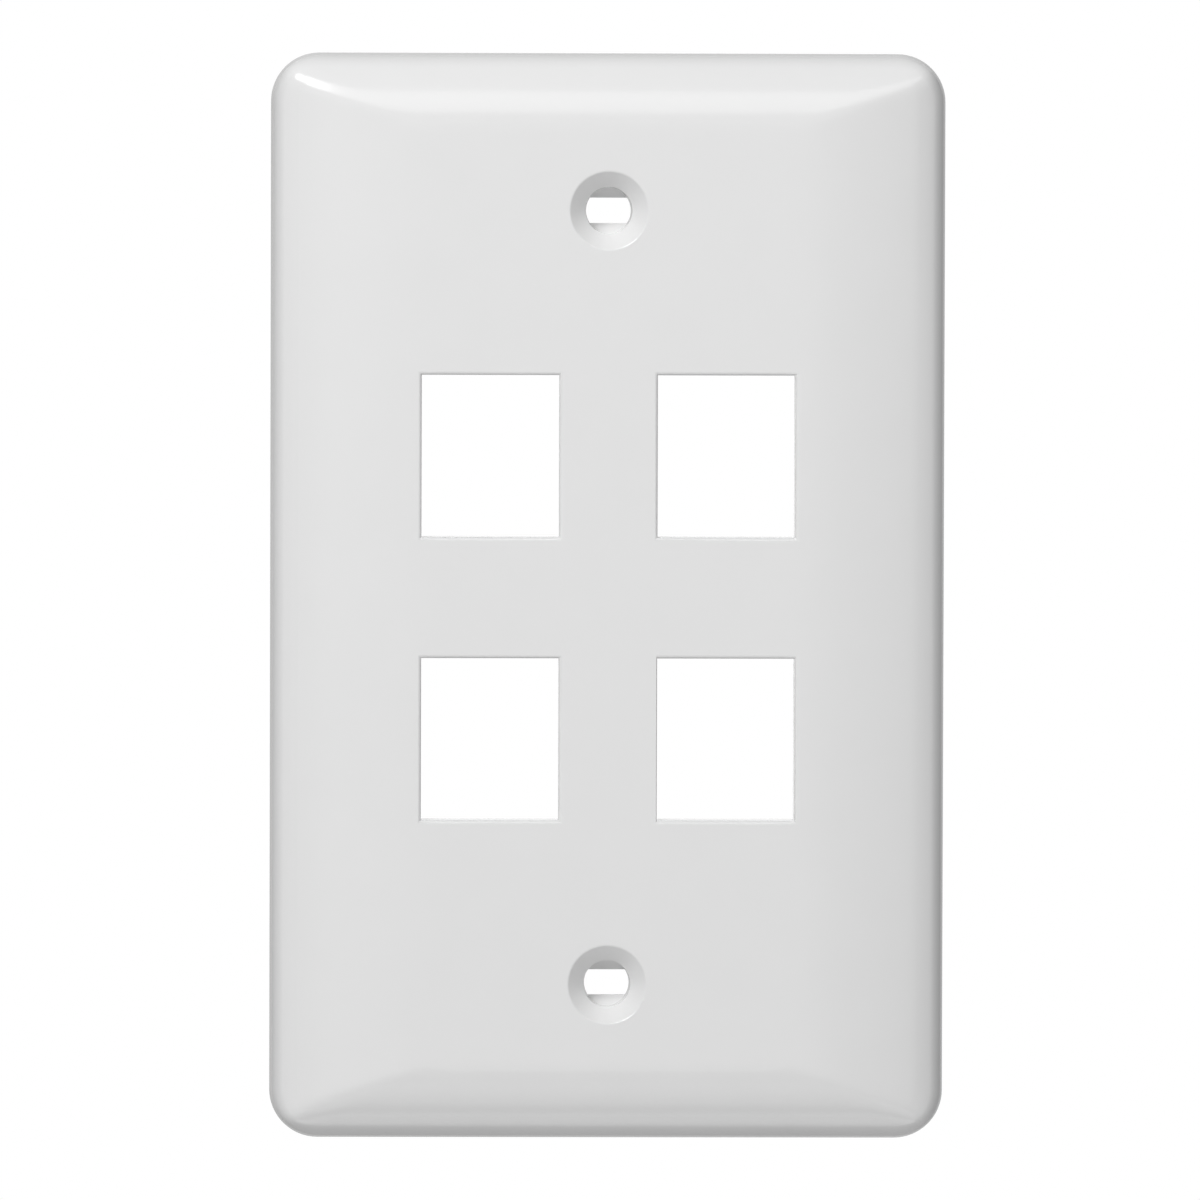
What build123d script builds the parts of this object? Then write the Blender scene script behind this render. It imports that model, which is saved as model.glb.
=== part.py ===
from build123d import *
import os
from math import asin, degrees, radians, tan

# Keystone faceplate: a moulded single-gang wall plate with four ports for snap-in jacks.
# Millimetres. The plate stands upright as on a wall: +X right, +Z up, the front faces -Y.
# The origin is the centre of the outline, on the wall plane that the rim rests on.

# Outline and depth
plate_width = 72.8
plate_height = 117.2
plate_depth = 6.35  # wall plane to the flat of the face
corner_radius = 5.2  # outline corners, at the wall plane
wall_draft = 2.0  # degrees that the outer walls lean in towards the front
edge_radius = 2.4  # rounds the face over into the outer walls

# Crown of the face: long soft curves to the sides, tighter ones to the ends, mitred at the corners
side_crown_start = 18.0  # in from the side of the outline
side_crown_length = 20.0  # half axis of the elliptical curve, across the plate
side_crown_fall = 5.4  # half axis of the same curve, towards the wall
shoulder_start = 4.0  # in from the side: from here an arc turns the face down faster
shoulder_radius = 9.0
shoulder_sweep = 60.0  # degrees, which takes the arc out past the outer wall
end_crown_start = 8.8  # in from the top and the bottom of the outline
end_crown_radius = 11.5

# Walls of the moulding
face_wall = 2.2
rim_wall = 2.0
pocket_radius = 0.8  # inside corner between the face and the rim

# Screw holes for countersunk screws of 3.5 mm, each with two ledges that keep its screw captive
screw_spacing = 83.34
screw_hole_radius = 2.535
countersink_radius = 4.2
countersink_angle = 82.0  # degrees, full angle
countersink_edge_radius = 0.15
hole_land = 1.1  # round stretch behind the countersink
ledge_ramp = 1.8  # the ledges slope inwards over this depth behind the land
ledge_ramp_draft = 4.0  # degrees that the hole narrows along the ledges
ledge_gap = 2.74  # height of the slot between the ledges
ledge_slot_length = 5.8
boss_radius = 5.4
boss_setback = 0.9  # back of the bosses, in front of the wall plane

# Ports for snap-in jacks
port_pitch_x = 25.4
port_pitch_z = 30.48
port_width = 14.8
port_height = 17.45
port_edge_radius = 0.4  # rounds each port over into the face
socket_clearance = 0.2  # the socket behind the face is this much wider on each side
frame_depth = 10.0  # face of the plate to the back of the port frames
frame_wall = 1.6
frame_corner_radius = 0.8
lug_recess_start = 6.5  # behind the face, above the port: holds the jack's fixed lug
lug_recess_depth = 2.0
latch_recess_start = 4.0  # behind the face, below the port: the jack's latch springs into it
latch_recess_depth = 4.0
catch_start = 8.0  # both catches run from here to the back of the frame
latch_catch_height = 2.0
catch_lead_in = 0.7

# Stiffening ribs on the back
rib_thickness = 1.2
rib_setback = 1.6  # back of the ribs, in front of the wall plane
cross_rib_gap = 3.5  # from the port frames to the cross ribs

# Planes and levels that follow from the sizes above
front = -plate_depth
pocket_front = front + face_wall
frame_back = front + frame_depth
frame_front = pocket_front - face_wall / 2  # the frames, bosses and ribs start inside the face
pass_through = 1.0  # how far a cut runs past the surface that it opens
wall_lean_limit = 0.1  # a face whose normal has less than this along Y is an outer wall
same_length = 0.01  # lengths closer than this are the same
frame_top = port_height / 2 + lug_recess_depth + frame_wall
frame_bottom = -port_height / 2 - latch_recess_depth - frame_wall
port_centres = [
    (x, z)
    for x in (-port_pitch_x / 2, port_pitch_x / 2)
    for z in (-port_pitch_z / 2, port_pitch_z / 2)
]
screw_heights = (-screw_spacing / 2, screw_spacing / 2)


def facing_front(y):
    """Sketch plane at the depth y, seen from the front: X to the right, Z up, extruded towards -Y."""
    return Plane(origin=(0, y, 0), x_dir=(1, 0, 0), z_dir=(0, -1, 0))


def facing_back(y):
    """Sketch plane at the depth y that is extruded towards +Y; sketches on it are symmetric in X."""
    return Plane(origin=(0, y, 0), x_dir=(-1, 0, 0), z_dir=(0, 1, 0))


def drafted_block(width, height, radius):
    """The outline at the wall plane, drawn forwards with the draft of the outer walls."""
    outline = facing_front(0) * RectangleRounded(width, height, radius)
    return extrude(outline, amount=plate_depth, taper=wall_draft)


def behind_side_crown(inset):
    """Everything behind the curve that runs from side to side, at an inset behind the face."""
    flat_end = plate_width / 2 - side_crown_start
    length = side_crown_length - inset
    fall = side_crown_fall - inset
    turn = degrees(asin((side_crown_start - shoulder_start) / length))
    with BuildSketch(Plane.XY) as section:
        with BuildLine():
            Line((-flat_end, front + inset), (flat_end, front + inset))
            tips = []
            for side in (-1, 1):
                centre = (side * flat_end, front + inset + fall)
                crown = EllipticalCenterArc(centre, length, fall, start_angle=270, arc_size=side * turn)
                shoulder = JernArc(crown @ 1, crown % 1, shoulder_radius - inset, side * shoulder_sweep)
                tips.append(shoulder @ 1)
            left, right = tips
            Polyline(left, (left.X, frame_back), (right.X, frame_back), right)
        make_face()
    return extrude(section.sketch, amount=plate_height, both=True)


def behind_end_crown(inset):
    """Everything behind the curve that runs from top to bottom, at an inset behind the face."""
    flat_end = plate_height / 2 - end_crown_start
    radius = end_crown_radius - inset
    tip = flat_end + radius
    tip_depth = front + end_crown_radius
    with BuildSketch(Plane.YZ) as section:
        with BuildLine():
            Line((front + inset, -flat_end), (front + inset, flat_end))
            RadiusArc((front + inset, flat_end), (tip_depth, tip), radius)
            Line((tip_depth, tip), (tip_depth, -tip))
            RadiusArc((tip_depth, -tip), (front + inset, -flat_end), radius)
        make_face()
    return extrude(section.sketch, amount=plate_width, both=True)


def round_crown_edge(block, radius):
    """Rounds the block where its crowned face meets its outer walls."""
    walls = [f for f in block.faces() if abs(f.normal_at(f.center()).Y) < wall_lean_limit]
    crown = [f for f in block.faces() if f.normal_at(f.center()).Y < -wall_lean_limit]
    wall_edges = [e for f in walls for e in f.edges()]
    crown_edges = [e for f in crown for e in f.edges()]
    return fillet([e for e in crown_edges if any(e.is_same(w) for w in wall_edges)], radius)


def crowned_block():
    """The plate as a full solid: drafted walls, crowned face and the rounded edge between them."""
    block = drafted_block(plate_width, plate_height, corner_radius)
    return round_crown_edge(block & behind_side_crown(0) & behind_end_crown(0), edge_radius)


def pocket():
    """The hollow behind the face, inside the rim."""
    width = plate_width - 2 * rim_wall
    height = plate_height - 2 * rim_wall
    block = drafted_block(width, height, corner_radius - rim_wall)
    block = block & behind_side_crown(face_wall) & behind_end_crown(face_wall)
    return round_crown_edge(block, pocket_radius)


def port_frame():
    """The frame behind one port, full, with the step above it where the lug recess starts."""
    step = front + lug_recess_start - frame_wall
    lug_wall_top = port_height / 2 + frame_wall
    section = Plane.YZ * Polygon(
        (frame_front, lug_wall_top),
        (step, lug_wall_top),
        (step, frame_top),
        (frame_back, frame_top),
        (frame_back, frame_bottom),
        (frame_front, frame_bottom),
        align=None,
    )
    width = port_width + 2 * socket_clearance + 2 * frame_wall
    frame = extrude(section, amount=width / 2, both=True)
    return fillet(frame.edges().filter_by(Axis.Y), frame_corner_radius)


def port_socket():
    """The cavity inside one frame: lug recess above, latch recess below, each behind its catch."""
    top = port_height / 2
    bottom = -port_height / 2
    catch = front + catch_start
    latch_tip = bottom - latch_recess_depth + latch_catch_height
    flare = catch_lead_in + pass_through
    section = Plane.YZ * Polygon(
        (pocket_front, top),
        (front + lug_recess_start, top),
        (front + lug_recess_start, top + lug_recess_depth),
        (catch, top + lug_recess_depth),
        (catch, top),
        (frame_back - catch_lead_in, top),
        (frame_back + pass_through, top + flare),
        (frame_back + pass_through, latch_tip - flare),
        (frame_back - catch_lead_in, latch_tip),
        (catch, latch_tip),
        (catch, bottom - latch_recess_depth),
        (front + latch_recess_start, bottom - latch_recess_depth),
        (front + latch_recess_start, bottom),
        (pocket_front, bottom),
        align=None,
    )
    return extrude(section, amount=port_width / 2 + socket_clearance, both=True)


def port_opening():
    """The opening of one port through the face."""
    outline = Rectangle(port_width, port_height)
    return extrude(facing_back(front - pass_through) * outline, amount=face_wall + 2 * pass_through)


def screw_boss():
    """The round boss behind one screw hole."""
    return extrude(facing_back(frame_front) * Circle(boss_radius), amount=-boss_setback - frame_front)


def screw_hole():
    """Countersink and round land, then sloping ledges that narrow the hole to a slot."""
    slope = tan(radians(countersink_angle / 2))
    land_start = front + (countersink_radius - screw_hole_radius) / slope
    ramp_start = land_start + hole_land
    ramp_end = ramp_start + ledge_ramp
    narrow_radius = screw_hole_radius - ledge_ramp * tan(radians(ledge_ramp_draft))
    round_part = revolve(
        Plane.XY
        * Polygon(
            (0, front - pass_through),
            (countersink_radius + pass_through * slope, front - pass_through),
            (screw_hole_radius, land_start),
            (screw_hole_radius, ramp_start),
            (0, ramp_start),
            align=None,
        ),
        axis=Axis.Y,
    )
    funnel = revolve(
        Plane.XY
        * Polygon(
            (0, ramp_start),
            (screw_hole_radius, ramp_start),
            (narrow_radius, ramp_end),
            (0, ramp_end),
            align=None,
        ),
        axis=Axis.Y,
    )
    wedge = extrude(
        Plane.YZ
        * Polygon(
            (ramp_start, -screw_hole_radius),
            (ramp_start, screw_hole_radius),
            (ramp_end, ledge_gap / 2),
            (ramp_end, -ledge_gap / 2),
            align=None,
        ),
        amount=screw_hole_radius,
        both=True,
    )
    slot = extrude(
        facing_back(ramp_end) * Rectangle(ledge_slot_length, ledge_gap),
        amount=pass_through - boss_setback - ramp_end,
    )
    return round_part + (funnel & wedge) + slot


def ribs():
    """Ribs along the middle of the plate and across it, above, between and below the frames."""
    above = port_pitch_z / 2 + frame_top + cross_rib_gap
    between = (frame_top + frame_bottom) / 2
    below = -port_pitch_z / 2 + frame_bottom - cross_rib_gap
    grid = Rectangle(rib_thickness, plate_height)
    for height in (above, between, below):
        grid += Pos(0, height) * Rectangle(plate_width, rib_thickness)
    return extrude(facing_back(frame_front) * grid, amount=-rib_setback - frame_front)


def is_port_rim(edge):
    """True for an edge where a port opens through the front of the face."""
    middle = edge.center()
    return middle.Y < front + face_wall / 2 and any(
        abs(middle.X - x) < port_width / 2 + port_edge_radius
        and abs(middle.Z - z) < port_height / 2 + port_edge_radius
        for x, z in port_centres
    )


def is_countersink_rim(edge):
    """True for the outer circle of a countersink."""
    return edge.geom_type == GeomType.CIRCLE and abs(edge.radius - countersink_radius) < same_length


def faceplate():
    """The whole moulding."""
    block = crowned_block()
    plate = block - pocket() + (ribs() & block)
    for height in screw_heights:
        plate += Pos(0, 0, height) * screw_boss()
    for x, z in port_centres:
        plate += Pos(x, 0, z) * port_frame()
    for x, z in port_centres:
        plate -= Pos(x, 0, z) * (port_socket() + port_opening())
    for height in screw_heights:
        plate -= Pos(0, 0, height) * screw_hole()
    plate = fillet([e for e in plate.edges() if is_port_rim(e)], port_edge_radius)
    return fillet([e for e in plate.edges() if is_countersink_rim(e)], countersink_edge_radius)


os.makedirs("parts", exist_ok=True)
export_step(faceplate(), "parts/faceplate.step")
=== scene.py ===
import bpy
from collections import Counter
from math import atan, cos, pi, radians, sin, sqrt, tan
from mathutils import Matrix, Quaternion, Vector


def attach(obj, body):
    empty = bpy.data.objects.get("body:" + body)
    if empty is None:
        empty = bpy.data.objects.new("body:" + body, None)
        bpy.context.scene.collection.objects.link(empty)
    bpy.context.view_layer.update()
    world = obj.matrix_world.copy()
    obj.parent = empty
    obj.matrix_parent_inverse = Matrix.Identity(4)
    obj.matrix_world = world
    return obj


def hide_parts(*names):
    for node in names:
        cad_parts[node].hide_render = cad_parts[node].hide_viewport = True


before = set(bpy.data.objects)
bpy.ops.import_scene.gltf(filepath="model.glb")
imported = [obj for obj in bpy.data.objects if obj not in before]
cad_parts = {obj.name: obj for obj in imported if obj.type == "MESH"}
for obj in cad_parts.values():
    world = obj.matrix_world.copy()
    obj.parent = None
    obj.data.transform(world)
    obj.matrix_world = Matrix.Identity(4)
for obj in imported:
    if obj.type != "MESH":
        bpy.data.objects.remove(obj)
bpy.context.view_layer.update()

# Sizes of the moulding in millimetres, the same as in the CAD
PLATE_WIDTH = 72.8
PLATE_HEIGHT = 117.2
PLATE_DEPTH = 6.35
CORNER_RADIUS = 5.2
WALL_DRAFT = radians(2.0)
EDGE_WIDTH = 1.3  # how far the rounded edge reaches in over the face

SIDE_FLAT = 18.4  # half width of the flat of the face
SIDE_LENGTH = 20.0
SIDE_FALL = 5.4
SHOULDER = 14.0  # out from the flat: from here an arc turns the face down faster
SHOULDER_RADIUS = 9.0
END_FLAT = 49.8  # half height of the flat of the face
END_RADIUS = 11.5
FIRST_RING = 21.2  # half widths of the innermost and the outermost level line of the face
LAST_RING = 33.4
RINGS = 27
MITRE_BLEND = 1.8  # the two curves blend where their depths differ by less than this
MITRE_STRIP = 2.2  # half width of the strip along each mitre that carries the blend

FACE_WALL = 2.2
RIM_WALL = 2.0
POCKET_EDGE = 0.8

SCREW_HEIGHT = 41.67
SCREW_HOLE_RADIUS = 2.535
SINK_RADIUS = 4.2
SINK_SLOPE = tan(radians(41.0))
SINK_EDGE = 0.15
HOLE_LAND = 1.1
LEDGE_RAMP = 1.8
LEDGE_GAP = 2.74
LEDGE_NARROW_RADIUS = SCREW_HOLE_RADIUS - LEDGE_RAMP * tan(radians(4.0))
LEDGE_SLOT_LENGTH = 5.8
LEDGE_WIDTH = 5.4
LEDGE_ROOT = 0.4  # how far a ledge reaches into the boss
BOSS_RADIUS = 5.4
BOSS_BACK = -0.9

PORT_X = 12.7
PORT_Z = 15.24
PORT_WIDTH = 14.8
PORT_HEIGHT = 17.45
PORT_EDGE = 0.4
SOCKET_CLEARANCE = 0.2
FRAME_DEPTH = 10.0
FRAME_WALL = 1.6
FRAME_CORNER = 0.8
LUG_START = 6.5
LUG_DEPTH = 2.0
LATCH_START = 4.0
LATCH_DEPTH = 4.0
CATCH_START = 8.0
CATCH_HEIGHT = 2.0
CATCH_LEAD = 0.7

RIB = 1.2
RIB_BACK = -1.6
CROSS_RIB_GAP = 3.5

FRONT = -PLATE_DEPTH
POCKET_FRONT = FRONT + FACE_WALL
FRAME_FRONT = POCKET_FRONT - FACE_WALL / 2
FRAME_BACK = FRONT + FRAME_DEPTH
FRAME_TOP = PORT_HEIGHT / 2 + LUG_DEPTH + FRAME_WALL
FRAME_BOTTOM = -PORT_HEIGHT / 2 - LATCH_DEPTH - FRAME_WALL
SINK_BACK = FRONT + (SINK_RADIUS - SCREW_HOLE_RADIUS) / SINK_SLOPE
LEDGE_START = SINK_BACK + HOLE_LAND
CLEAR = 1.0  # how far a cutter runs past the surface that it opens
BITE = 0.05  # how far two shapes run into each other, so that they join
NEAR = 1e-4  # points closer than this are taken as one
VERY_NEAR = 1e-5


# Working on a mesh as at the bench: everything deselected, then what is wanted picked by its place

def active(piece):
    bpy.ops.object.select_all(action="DESELECT")
    bpy.context.view_layer.objects.active = piece
    piece.select_set(True)
    return piece


def edit(piece):
    active(piece)
    bpy.ops.object.mode_set(mode="EDIT")


def done():
    bpy.ops.object.mode_set(mode="OBJECT")


def pick(piece, mode, wanted):
    """Selects only the vertices, edges or faces for which wanted(part) is true."""
    bpy.ops.object.mode_set(mode="EDIT")
    bpy.ops.mesh.select_mode(type=mode)
    bpy.ops.mesh.select_all(action="DESELECT")
    bpy.ops.object.mode_set(mode="OBJECT")
    parts = {"VERT": piece.data.vertices, "EDGE": piece.data.edges, "FACE": piece.data.polygons}[mode]
    for part in parts:
        part.select = wanted(part)
    bpy.ops.object.mode_set(mode="EDIT")


def ends(piece, edge):
    """The two end points of an edge."""
    return [piece.data.vertices[i].co for i in edge.vertices]


def level_or_upright(piece, edge):
    """True for an edge that runs straight across or straight up, seen from the front."""
    a, b = ends(piece, edge)
    return abs(a.x - b.x) < VERY_NEAR or abs(a.z - b.z) < VERY_NEAR


def use_modifier(piece, kind, **settings):
    """Adds a modifier with these settings and applies it."""
    active(piece)
    modifier = piece.modifiers.new(kind.title(), kind)
    for name, value in settings.items():
        setattr(modifier, name, value)
    bpy.ops.object.modifier_apply(modifier=modifier.name)


def combine(piece, tool, operation):
    """Adds the tool to the piece or cuts it out, and takes the tool away."""
    use_modifier(piece, "BOOLEAN", object=tool, operation=operation, solver="EXACT")
    bpy.data.objects.remove(tool, do_unlink=True)


def upright_sheet(name, width, height, y):
    """A flat rectangle that stands in the plane of the wall, at the depth y."""
    bpy.ops.object.select_all(action="DESELECT")
    bpy.ops.mesh.primitive_plane_add(size=1.0)
    sheet = bpy.context.object
    sheet.name = name
    edit(sheet)
    bpy.ops.mesh.select_all(action="SELECT")
    bpy.ops.transform.rotate(value=-pi / 2, orient_axis="X", center_override=(0, 0, 0))
    bpy.ops.transform.resize(value=(width, 1, height))
    bpy.ops.transform.translate(value=(0, y, 0))
    done()
    return sheet


# The crown of the face

def side_fall(x, inset=0.0):
    """How far the face has fallen back at x, on the curve that runs from side to side."""
    length, fall = SIDE_LENGTH - inset, SIDE_FALL - inset
    out = max(abs(x) - SIDE_FLAT, 0.0)
    along = min(out, SHOULDER) / length
    down = fall * (1 - sqrt(1 - along * along))
    if out > SHOULDER:
        # past here the shoulder's arc carries on from the lean that the long curve has reached
        radius = SHOULDER_RADIUS - inset
        lean = atan(fall / length * along / sqrt(1 - along * along))
        reach = min(radius * sin(lean) + out - SHOULDER, radius)
        down += radius * cos(lean) - sqrt(radius * radius - reach * reach)
    return down


def end_fall(z, inset=0.0):
    """The same at z, on the curve that runs from top to bottom."""
    radius = END_RADIUS - inset
    along = min(max(abs(z) - END_FLAT, 0.0), radius)
    return radius - sqrt(radius * radius - along * along)


def crown_fall(x, z, inset=0.0):
    """The deeper of the two curves, with the ridge between them softened where they meet."""
    side, end = side_fall(x, inset), end_fall(z, inset)
    deeper = max(side, end)
    reach = min(MITRE_BLEND, deeper / 2)
    near = max(reach - abs(side - end), 0.0)
    return deeper + (near * near / (4 * reach) if near else 0.0)


def crown_ring(half_width, inset=0.0):
    """Half width and half height of a level line of the face."""
    radius = END_RADIUS - inset
    return half_width, END_FLAT + sqrt(radius ** 2 - (radius - side_fall(half_width, inset)) ** 2)


def crowned_skin(name, width, height, radius, front, back, edge, inset):
    """One open skin of the plate: walls, rounded edge and face, with the rings that the crown needs."""
    skin = upright_sheet(name, width, height, back)
    edit(skin)
    bpy.ops.mesh.select_all(action="SELECT")
    bpy.ops.mesh.bevel(affect="VERTICES", offset=radius, segments=16, profile=0.5)
    # the walls, leaning in towards the front
    rise = back - front
    bpy.ops.mesh.extrude_region_move(TRANSFORM_OT_translate={"value": (0, -rise, 0)})
    lean = rise * tan(WALL_DRAFT)
    bpy.ops.transform.resize(value=(1 - 2 * lean / width, 1, 1 - 2 * lean / height))
    bpy.ops.mesh.select_all(action="SELECT")
    bpy.ops.mesh.normals_make_consistent(inside=False)
    pick(skin, "FACE", lambda f: len(f.vertices) > 8 and f.center.y > back - NEAR)
    bpy.ops.mesh.delete(type="FACE")
    # the rounded edge, all round the front
    pick(skin, "EDGE", lambda e: all(v.y < front + NEAR for v in ends(skin, e)))
    bpy.ops.mesh.bevel(affect="EDGES", offset=edge, segments=10, profile=0.5, clamp_overlap=False)
    # the face is opened, and its rings are laid from the middle outwards
    pick(skin, "FACE", lambda f: len(f.vertices) > 8)
    bpy.ops.mesh.delete(type="ONLY_FACE")
    done()
    rings = upright_sheet(name + "_rings", 2 * SIDE_FLAT, 2 * END_FLAT, front)
    edit(rings)
    bpy.ops.mesh.select_all(action="SELECT")
    half = (SIDE_FLAT, END_FLAT)
    for step in range(RINGS):
        # the rings lie closer together towards the edge, where the face turns faster
        bigger = crown_ring(FIRST_RING + (LAST_RING - FIRST_RING) * sin(pi / 2 * step / (RINGS - 1)), inset)
        pick(rings, "EDGE", lambda e: all(
            abs(abs(v.x) - half[0]) < VERY_NEAR or abs(abs(v.z) - half[1]) < VERY_NEAR for v in ends(rings, e)
        ) and level_or_upright(rings, e))
        bpy.ops.mesh.extrude_edges_move()
        bpy.ops.transform.resize(value=(bigger[0] / half[0], 1, bigger[1] / half[1]))
        half = bigger
    # a strip of narrow faces along each mitre, for the soft ridge
    pick(rings, "EDGE", lambda e: not level_or_upright(rings, e))
    bpy.ops.mesh.bevel(affect="EDGES", offset=MITRE_STRIP, segments=8, profile=0.5, clamp_overlap=False)
    done()
    active(skin)
    rings.select_set(True)
    bpy.ops.object.join()
    # the outermost ring is bridged to the inner line of the rounded edge
    sides_of = Counter(key for face in skin.data.polygons for key in face.edge_keys)
    pick(skin, "EDGE", lambda e: (
        sides_of[tuple(sorted(e.vertices))] == 1 and all(v.y < front + NEAR for v in ends(skin, e))
    ))
    bpy.ops.mesh.bridge_edge_loops(number_cuts=2, interpolation="LINEAR")
    bpy.ops.mesh.select_all(action="SELECT")
    bpy.ops.mesh.remove_doubles(threshold=NEAR)
    bpy.ops.mesh.normals_make_consistent(inside=False)
    done()
    return skin


def box(name, low, high):
    """A closed block between two corners."""
    bpy.ops.object.select_all(action="DESELECT")
    bpy.ops.mesh.primitive_cube_add(size=1.0)
    block = bpy.context.object
    block.name = name
    edit(block)
    bpy.ops.mesh.select_all(action="SELECT")
    bpy.ops.transform.resize(value=[h - l for l, h in zip(low, high)])
    bpy.ops.transform.translate(value=[(h + l) / 2 for l, h in zip(low, high)])
    done()
    return block


def cut_across(piece, y):
    """A line round the piece at the depth y."""
    edit(piece)
    bpy.ops.mesh.select_all(action="SELECT")
    bpy.ops.mesh.bisect(plane_co=(0, y, 0), plane_no=(0, 1, 0))
    done()


def pull(piece, wanted, way):
    """Extrudes the wanted faces by this way."""
    pick(piece, "FACE", wanted)
    bpy.ops.mesh.extrude_region_move(TRANSFORM_OT_translate={"value": way})
    done()


def plate_shell():
    """The outer and the inner skin, closed round the rim, with the face still flat."""
    shell = crowned_skin(
        "faceplate_shell", PLATE_WIDTH, PLATE_HEIGHT, CORNER_RADIUS, FRONT, 0.0, EDGE_WIDTH, 0.0
    )
    pocket = crowned_skin(
        "pocket", PLATE_WIDTH - 2 * RIM_WALL, PLATE_HEIGHT - 2 * RIM_WALL, CORNER_RADIUS - RIM_WALL,
        POCKET_FRONT, 0.0, POCKET_EDGE, FACE_WALL,
    )
    edit(pocket)
    bpy.ops.mesh.select_all(action="SELECT")
    bpy.ops.mesh.flip_normals()
    done()
    active(shell)
    pocket.select_set(True)
    bpy.ops.object.join()
    pick(shell, "EDGE", lambda e: all(v.y > -NEAR for v in ends(shell, e)))
    bpy.ops.mesh.bridge_edge_loops()
    bpy.ops.mesh.select_all(action="SELECT")
    bpy.ops.mesh.normals_make_consistent(inside=False)
    done()
    return shell


def port_frame(x, z):
    """The frame behind one port, still full, with the step above it for the jack's lug."""
    half = PORT_WIDTH / 2 + SOCKET_CLEARANCE + FRAME_WALL
    top = PORT_HEIGHT / 2 + FRAME_WALL
    frame_ = box("port_frame", (-half, FRAME_FRONT, FRAME_BOTTOM), (half, FRAME_BACK, top))
    step = FRONT + LUG_START - FRAME_WALL
    cut_across(frame_, step)
    pull(frame_, lambda f: f.normal.z > 0.9 and f.center.y > step, (0, 0, FRAME_TOP - top))
    pick(frame_, "EDGE", lambda e: (
        all(abs(v.x) > half - NEAR for v in ends(frame_, e))
        and all(v.z > FRAME_TOP - NEAR or v.z < FRAME_BOTTOM + NEAR for v in ends(frame_, e))
        and abs(ends(frame_, e)[0].x - ends(frame_, e)[1].x) < NEAR
    ))
    bpy.ops.mesh.bevel(affect="EDGES", offset=FRAME_CORNER, segments=6, profile=0.5)
    bpy.ops.mesh.select_all(action="SELECT")
    bpy.ops.transform.translate(value=(x, 0, z))
    done()
    return frame_


def port_socket(x, z):
    """What is hollow inside one frame: lug recess above, latch recess below, each behind its catch."""
    half = PORT_WIDTH / 2 + SOCKET_CLEARANCE
    top, bottom = PORT_HEIGHT / 2, -PORT_HEIGHT / 2
    socket = box("port_socket", (-half, POCKET_FRONT, bottom), (half, FRAME_BACK, top))
    latch, lug, catch = FRONT + LATCH_START, FRONT + LUG_START, FRONT + CATCH_START
    lead = FRAME_BACK - CATCH_LEAD
    for y in (latch, lug, catch, lead):
        cut_across(socket, y)
    pull(socket, lambda f: f.normal.z > 0.9 and lug < f.center.y < catch, (0, 0, LUG_DEPTH))
    pull(socket, lambda f: f.normal.z < -0.9 and f.center.y > latch, (0, 0, CATCH_HEIGHT - LATCH_DEPTH))
    pull(socket, lambda f: f.normal.z < -0.9 and latch < f.center.y < catch, (0, 0, -CATCH_HEIGHT))
    pick(socket, "VERT", lambda v: v.co.y > FRAME_BACK - NEAR and v.co.z > 0)
    bpy.ops.transform.translate(value=(0, 0, CATCH_LEAD))
    pick(socket, "VERT", lambda v: v.co.y > FRAME_BACK - NEAR and v.co.z < 0)
    bpy.ops.transform.translate(value=(0, 0, -CATCH_LEAD))
    done()
    pull(socket, lambda f: f.normal.y > 0.9 and f.center.y > FRAME_BACK - NEAR, (0, CLEAR, 0))
    edit(socket)
    bpy.ops.mesh.select_all(action="SELECT")
    bpy.ops.mesh.normals_make_consistent(inside=False)
    bpy.ops.transform.translate(value=(x, 0, z))
    done()
    return socket


def turned(name, stations, z):
    """A round tool along Y: a disc at the first (depth, radius), drawn out to the others."""
    bpy.ops.object.select_all(action="DESELECT")
    bpy.ops.mesh.primitive_circle_add(vertices=96, radius=stations[0][1], fill_type="NGON")
    tool = bpy.context.object
    tool.name = name
    edit(tool)
    bpy.ops.mesh.select_all(action="SELECT")
    bpy.ops.transform.rotate(value=-pi / 2, orient_axis="X", center_override=(0, 0, 0))
    bpy.ops.transform.translate(value=(0, stations[0][0], 0))
    for (y0, r0), (y1, r1) in zip(stations, stations[1:]):
        bpy.ops.mesh.extrude_region_move(TRANSFORM_OT_translate={"value": (0, y1 - y0, 0)})
        bpy.ops.transform.resize(value=(r1 / r0, 1, r1 / r0), center_override=(0, y1, 0))
    bpy.ops.mesh.select_all(action="SELECT")
    bpy.ops.mesh.normals_make_consistent(inside=False)
    bpy.ops.transform.translate(value=(0, 0, z))
    done()
    return tool


def screw_drill(z):
    """The turned tool for one screw hole: countersink, land, and the narrower way out behind them."""
    return turned("screw_drill", [
        (FRONT - CLEAR, SINK_RADIUS + CLEAR * SINK_SLOPE),
        (SINK_BACK, SCREW_HOLE_RADIUS),
        (LEDGE_START, SCREW_HOLE_RADIUS),
        (LEDGE_START + LEDGE_RAMP, LEDGE_NARROW_RADIUS),
        (BOSS_BACK + CLEAR, LEDGE_NARROW_RADIUS),
    ], z)


def screw_ledge(z, side):
    """One of the two sloping ledges that keep a screw captive; side is 1 above the screw and -1 below."""
    near, far = LEDGE_GAP / 2, SCREW_HOLE_RADIUS + LEDGE_ROOT
    low, high = sorted((z + side * near, z + side * far))
    half = LEDGE_WIDTH / 2
    ledge = box("screw_ledge", (-half, LEDGE_START, low), (half, BOSS_BACK - BITE, high))
    edit(ledge)
    bpy.ops.mesh.select_all(action="SELECT")
    bpy.ops.mesh.bisect(
        plane_co=(0, LEDGE_START + LEDGE_RAMP, z + side * near),
        plane_no=(0, near - SCREW_HOLE_RADIUS, -side * LEDGE_RAMP),
        use_fill=True, clear_outer=True,
    )
    done()
    return ledge


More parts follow.
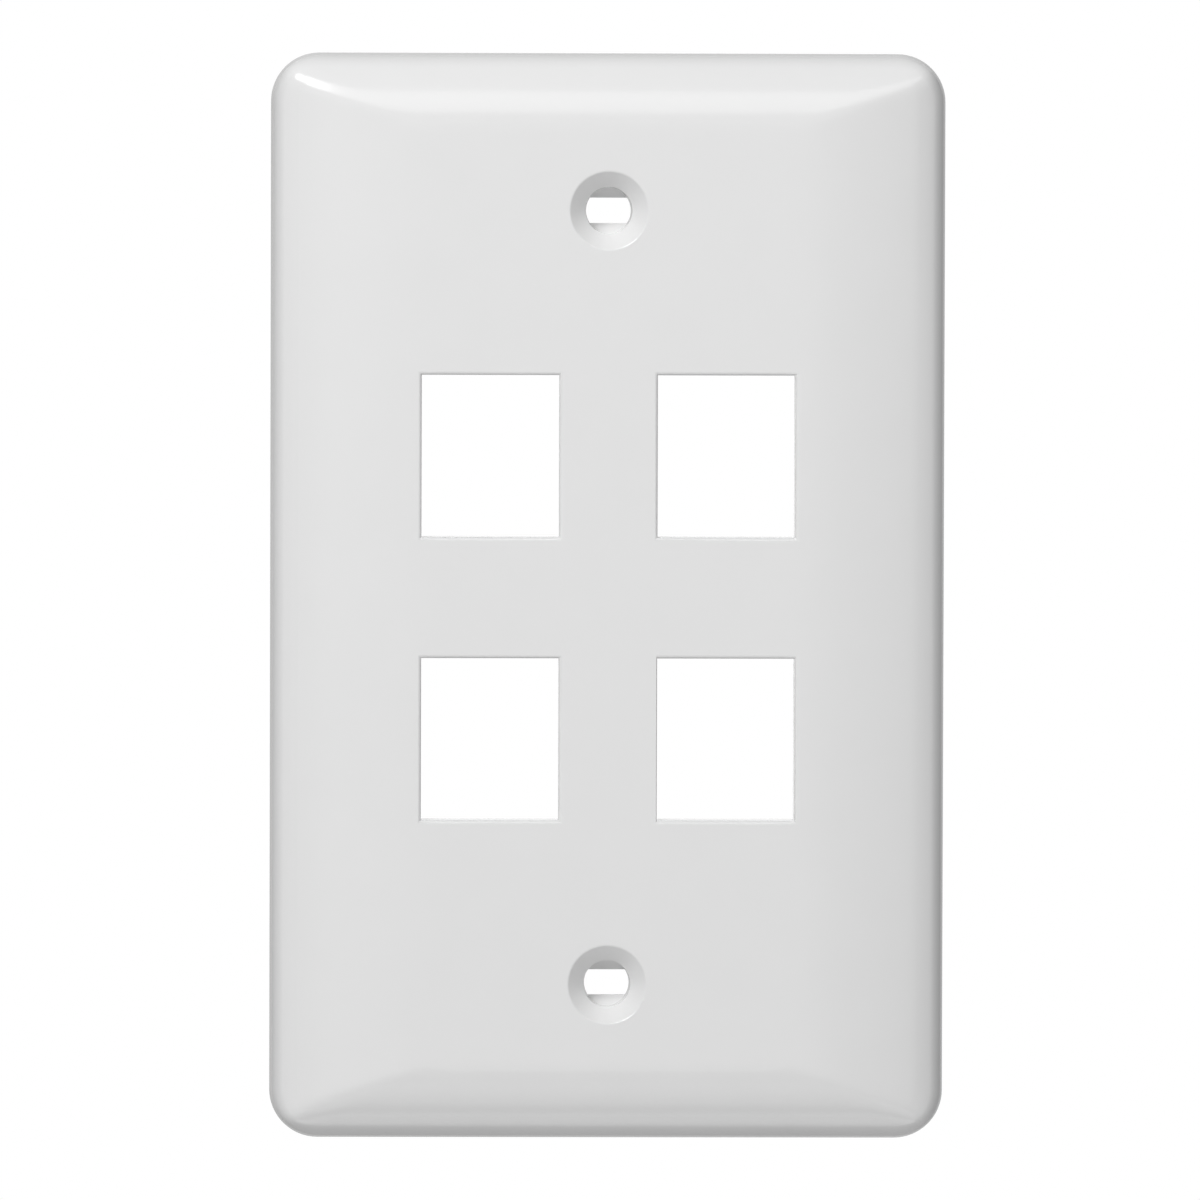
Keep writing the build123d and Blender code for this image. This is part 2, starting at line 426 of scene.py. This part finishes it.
def screw_slot(z):
    """The slot between the ledges, cut a little wider than the round hole."""
    length, height = LEDGE_SLOT_LENGTH / 2, LEDGE_GAP / 2 - 0.01
    return box(
        "screw_slot",
        (-length, LEDGE_START + LEDGE_RAMP - BITE, z - height),
        (length, BOSS_BACK + CLEAR, z + height),
    )


def build_plate():
    plate = plate_shell()
    # ribs, bosses and port frames grow from the back of the face
    inner_x = PLATE_WIDTH / 2 - RIM_WALL / 2
    # the upright rib ends where the crown of the hollow comes up to its back
    radius = END_RADIUS - FACE_WALL
    inner_z = END_FLAT + sqrt(radius ** 2 - (radius - (RIB_BACK - POCKET_FRONT)) ** 2) - BITE
    half = RIB / 2
    additions = [box("rib", (-half, FRAME_FRONT, -inner_z), (half, RIB_BACK, inner_z))]
    for z in (
        PORT_Z + FRAME_TOP + CROSS_RIB_GAP,
        (FRAME_TOP + FRAME_BOTTOM) / 2,
        -PORT_Z + FRAME_BOTTOM - CROSS_RIB_GAP,
    ):
        additions.append(box("cross_rib", (-inner_x, FRAME_FRONT, z - half), (inner_x, RIB_BACK, z + half)))
    for z in (-SCREW_HEIGHT, SCREW_HEIGHT):
        additions.append(turned("boss", [(FRAME_FRONT, BOSS_RADIUS), (BOSS_BACK, BOSS_RADIUS)], z))
    places = [(x, z) for x in (-PORT_X, PORT_X) for z in (-PORT_Z, PORT_Z)]
    for x, z in places:
        additions.append(port_frame(x, z))
    for tool in additions:
        combine(plate, tool, "UNION")
    # ports and screw holes
    for x, z in places:
        combine(plate, port_socket(x, z), "DIFFERENCE")
        combine(plate, box(
            "port_opening",
            (x - PORT_WIDTH / 2, FRONT - CLEAR, z - PORT_HEIGHT / 2),
            (x + PORT_WIDTH / 2, POCKET_FRONT + CLEAR / 2, z + PORT_HEIGHT / 2),
        ), "DIFFERENCE")
    for z in (-SCREW_HEIGHT, SCREW_HEIGHT):
        combine(plate, screw_drill(z), "DIFFERENCE")
        combine(plate, screw_ledge(z, 1), "UNION")
        combine(plate, screw_ledge(z, -1), "UNION")
        combine(plate, screw_slot(z), "DIFFERENCE")
    # rims
    def on_port_rim(edge):
        a, b = ends(plate, edge)
        if abs(a.y - FRONT) > NEAR or abs(b.y - FRONT) > NEAR:
            return False
        return any(
            all(abs(abs(v.x - x) - PORT_WIDTH / 2) < NEAR and abs(v.z - z) < PORT_HEIGHT / 2 + NEAR for v in (a, b))
            and abs(a.x - b.x) < NEAR
            or all(abs(abs(v.z - z) - PORT_HEIGHT / 2) < NEAR and abs(v.x - x) < PORT_WIDTH / 2 + NEAR for v in (a, b))
            and abs(a.z - b.z) < NEAR
            for x, z in places
        )

    pick(plate, "EDGE", on_port_rim)
    bpy.ops.mesh.bevel(affect="EDGES", offset=PORT_EDGE, segments=5, profile=0.5, clamp_overlap=False)

    def on_sink_rim(edge):
        a, b = ends(plate, edge)
        return all(
            abs(v.y - FRONT) < NEAR and abs(sqrt(v.x ** 2 + (abs(v.z) - SCREW_HEIGHT) ** 2) - SINK_RADIUS) < 1e-3
            for v in (a, b)
        )

    pick(plate, "EDGE", on_sink_rim)
    bpy.ops.mesh.bevel(affect="EDGES", offset=SINK_EDGE, segments=3, profile=0.5, clamp_overlap=False)
    done()
    # the face is pressed to its crown, and the inside of the hollow with it
    for vertex in plate.data.vertices:
        x, y, z = vertex.co
        if y < (FRONT + EDGE_WIDTH + POCKET_FRONT) / 2:  # halfway between the two skins
            vertex.co.y += crown_fall(x, z)
        elif y < POCKET_FRONT + POCKET_EDGE + NEAR:
            vertex.co.y += crown_fall(x, z, FACE_WALL)
    return plate


plate = build_plate()
active(plate)
bpy.ops.object.shade_smooth_by_angle(angle=radians(30))
edit(plate)
bpy.ops.mesh.select_all(action="SELECT")
bpy.ops.transform.resize(value=(0.001, 0.001, 0.001), center_override=(0, 0, 0))  # to metres
done()
use_modifier(plate, "WEIGHTED_NORMAL", mode="FACE_AREA", weight=90, keep_sharp=True)

plate.name = "faceplate_moulding"
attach(plate, "root")
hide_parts("faceplate")


def shader(material, kind, **inputs):
    """A node of this kind in the material, with these inputs set on its own sockets."""
    node = material.node_tree.nodes.new(kind)
    for name, value in inputs.items():
        node.inputs[name.replace("_", " ")].default_value = value
    return node


def white_plastic():
    """White moulding compound: semi-gloss, with a faint ripple and a fine grain in the skin."""
    material = bpy.data.materials.new("white_plastic")
    material.use_nodes = True
    nodes, links = material.node_tree.nodes, material.node_tree.links
    surface = nodes["Principled BSDF"]
    surface.inputs["IOR"].default_value = 1.5
    place = nodes.new("ShaderNodeTexCoord")
    # the polish of the mould varies a little over the part
    polish = shader(material, "ShaderNodeTexNoise", Scale=90.0, Detail=3.0)
    gloss = shader(material, "ShaderNodeMapRange", To_Min=0.16, To_Max=0.2)
    # shade of the compound, hardly visible
    shade = shader(material, "ShaderNodeTexNoise", Scale=160.0, Detail=4.0)
    tint = shader(material, "ShaderNodeMapRange", To_Min=0.79, To_Max=0.81)
    # ripple of the moulded skin, and fine grain over it
    ripple = shader(material, "ShaderNodeTexNoise", Scale=260.0, Detail=1.0)
    grain = shader(material, "ShaderNodeTexNoise", Scale=1900.0, Detail=2.0)
    swell = shader(material, "ShaderNodeBump", Strength=0.05, Distance=0.0002)
    skin = shader(material, "ShaderNodeBump", Strength=0.04, Distance=0.00002)
    for texture in (polish, shade, ripple, grain):
        links.new(place.outputs["Object"], texture.inputs["Vector"])
    links.new(polish.outputs["Fac"], gloss.inputs["Value"])
    links.new(gloss.outputs["Result"], surface.inputs["Roughness"])
    links.new(shade.outputs["Fac"], tint.inputs["Value"])
    links.new(tint.outputs["Result"], surface.inputs["Base Color"])
    links.new(ripple.outputs["Fac"], swell.inputs["Height"])
    links.new(grain.outputs["Fac"], skin.inputs["Height"])
    links.new(swell.outputs["Normal"], skin.inputs["Normal"])
    links.new(skin.outputs["Normal"], surface.inputs["Normal"])
    return material


plate.data.materials.clear()
plate.data.materials.append(white_plastic())


def softbox(name, azimuth, elevation, distance, width, height, power):
    """A lamp that faces the plate from this direction; azimuth 0 is straight in front, 90 to the right."""
    a, e = radians(azimuth), radians(elevation)
    away = Vector((sin(a) * cos(e), -cos(a) * cos(e), sin(e)))
    lamp = bpy.data.lights.new(name, "AREA")
    lamp.shape = "RECTANGLE"
    lamp.size, lamp.size_y, lamp.energy = width, height, power
    holder = bpy.data.objects.new(name, lamp)
    holder.location = away * distance
    holder.rotation_euler = away.to_track_quat("Z", "Y").to_euler()
    bpy.context.scene.collection.objects.link(holder)
    return holder


# a key over the left shoulder, a wide bank overhead, and weaker light from the front, below and behind
softbox("key", -30, 38, 1.0, 0.4, 0.46, 5.1)
softbox("overhead_bank", 0, 38, 1.0, 1.3, 0.42, 3.26)
softbox("front_fill", -8, 2, 1.6, 1.1, 0.9, 1.46)
softbox("low_fill", 15, -45, 1.0, 0.7, 0.45, 0.72)
softbox("table_bounce", -10, -75, 1.0, 0.8, 0.3, 1.23)
softbox("backdrop_glow", 180, 0, 0.8, 1.2, 1.2, 1.4).visible_camera = False
softbox("port_glow", 180, 0, 0.09, 0.06, 0.065, 0.006).visible_camera = False


def white_surroundings(ambient):
    """Plain white to the camera, and a soft grey light from all round."""
    world = bpy.data.worlds.new("surroundings")
    bpy.context.scene.world = world
    world.use_nodes = True
    nodes, links = world.node_tree.nodes, world.node_tree.links
    seen, lit = nodes["Background"], nodes.new("ShaderNodeBackground")
    seen.inputs["Color"].default_value = (1, 1, 1, 1)
    seen.inputs["Strength"].default_value = 1.0
    lit.inputs["Color"].default_value = (1, 1, 1, 1)
    lit.inputs["Strength"].default_value = ambient
    path, mix = nodes.new("ShaderNodeLightPath"), nodes.new("ShaderNodeMixShader")
    links.new(path.outputs["Is Camera Ray"], mix.inputs[0])
    links.new(lit.outputs[0], mix.inputs[1])
    links.new(seen.outputs[0], mix.inputs[2])
    links.new(mix.outputs[0], nodes["World Output"].inputs["Surface"])


white_surroundings(0.253)


def pale_floor(level):
    """A plain pale floor, well below the plate and the lamps."""
    bpy.ops.object.select_all(action="DESELECT")
    bpy.ops.mesh.primitive_plane_add(size=3.0, location=(0, 0, level))
    floor = bpy.context.object
    floor.name = "floor"
    material = bpy.data.materials.new("pale_floor")
    material.use_nodes = True
    surface = material.node_tree.nodes["Principled BSDF"]
    surface.inputs["Base Color"].default_value = (0.8, 0.8, 0.8, 1)
    surface.inputs["Roughness"].default_value = 0.8
    floor.data.materials.append(material)


pale_floor(-1.15)


def camera_at(target, azimuth, elevation, roll, distance, lens):
    """A long lens, a little to the left of the plate and a little above it."""
    a, e = radians(azimuth), radians(elevation)
    away = Vector((sin(a) * cos(e), -cos(a) * cos(e), sin(e)))
    camera = bpy.data.objects.new("camera", bpy.data.cameras.new("camera"))
    camera.data.lens = lens
    camera.data.sensor_width = 36.0
    camera.data.clip_end = 20.0
    camera.location = Vector(target) + away * distance
    camera.rotation_euler = (away.to_track_quat("Z", "Y") @ Quaternion((0, 0, 1), radians(roll))).to_euler()
    bpy.context.scene.collection.objects.link(camera)
    bpy.context.scene.camera = camera


camera_at(
    target=(-0.00088, 0.001 * FRONT, -0.00021), azimuth=-1.08, elevation=1.98, roll=0.16, distance=1.4, lens=390.4
)
bpy.context.scene.view_settings.view_transform = "Standard"
